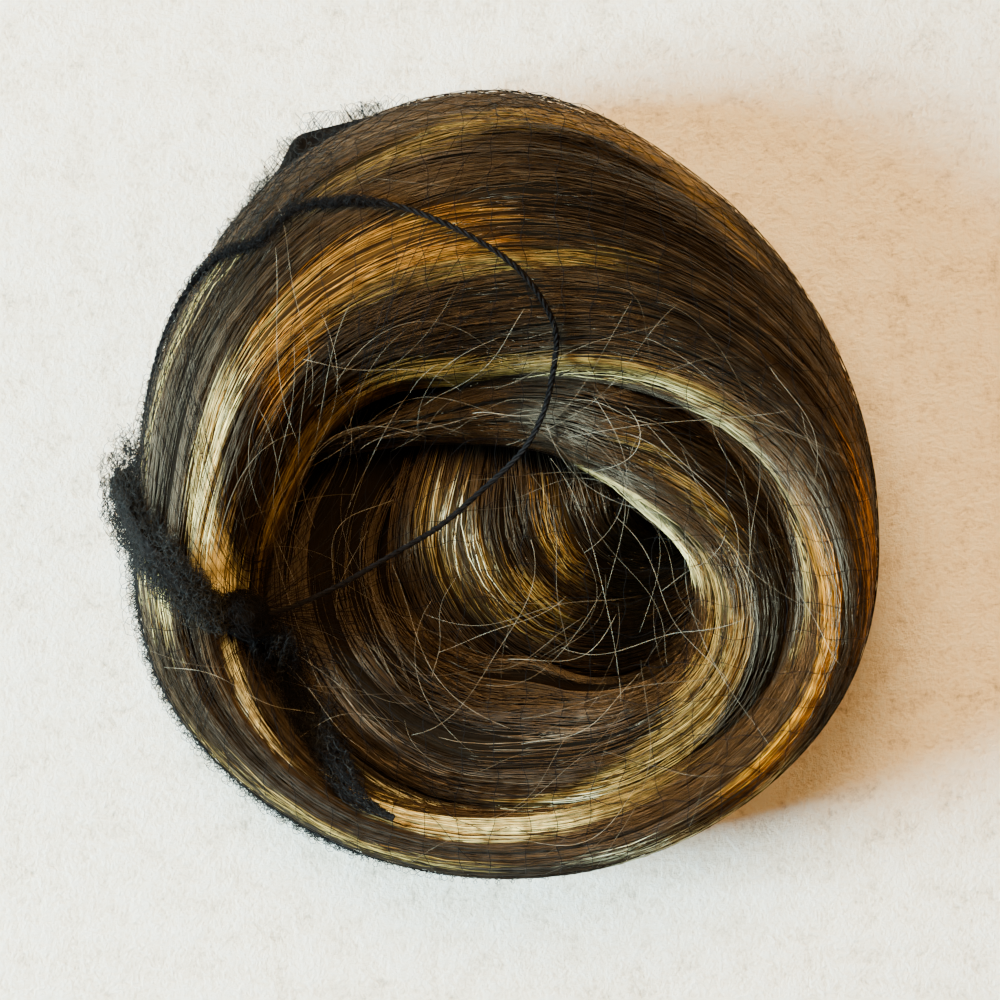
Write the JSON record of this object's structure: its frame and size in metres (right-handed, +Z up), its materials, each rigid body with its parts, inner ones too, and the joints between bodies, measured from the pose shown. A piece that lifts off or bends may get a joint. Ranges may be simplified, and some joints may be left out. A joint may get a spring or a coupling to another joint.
{
  "type": "clip-in hair extension",
  "caption": "Clip-in hair extension: a streaked brown, copper and blonde hank wound into a nest-shaped coil, its clip tucked in at the back, held in a black hairnet.",
  "frame": {"origin": "under the middle of the whole box, on the surface that the coil lies on", "axes": "+Z up, -Y towards the near side of the coil, +X to the right in the picture, which looks straight down"},
  "size_m": [0.1194, 0.1214, 0.0472],
  "materials": {
    "hair_brown": "dark brown hair, satin",
    "hair_gold": "golden hair, satin",
    "hair_copper": "copper hair, satin",
    "hair_blonde": "pale blonde hair, satin",
    "clip_plastic": "dark brown, satin",
    "net_thread": "black, matt"
  },
  "bodies": {
    "root": {"outer_turn": "hair_brown", "inner_turn": "hair_brown", "tail_fan": "hair_brown", "streak_gold_top": "hair_gold", "streak_copper": "hair_copper", "streak_blonde_left": "hair_blonde", "streak_gold_knot": "hair_gold", "streak_pale_left": "hair_blonde", "streak_edge": "hair_blonde", "streak_gold_rim": "hair_gold", "streak_copper_right": "hair_copper", "streak_blonde_foot": "hair_blonde", "streak_blonde_inner": "hair_blonde", "streak_blonde_tail": "hair_blonde", "streak_blonde_fan": "hair_blonde", "clip": "clip_plastic", "net_knot": "net_thread", "net_band": "net_thread", "net_fold": "net_thread", "net_cord": "net_thread"}
  },
  "joints": []
}
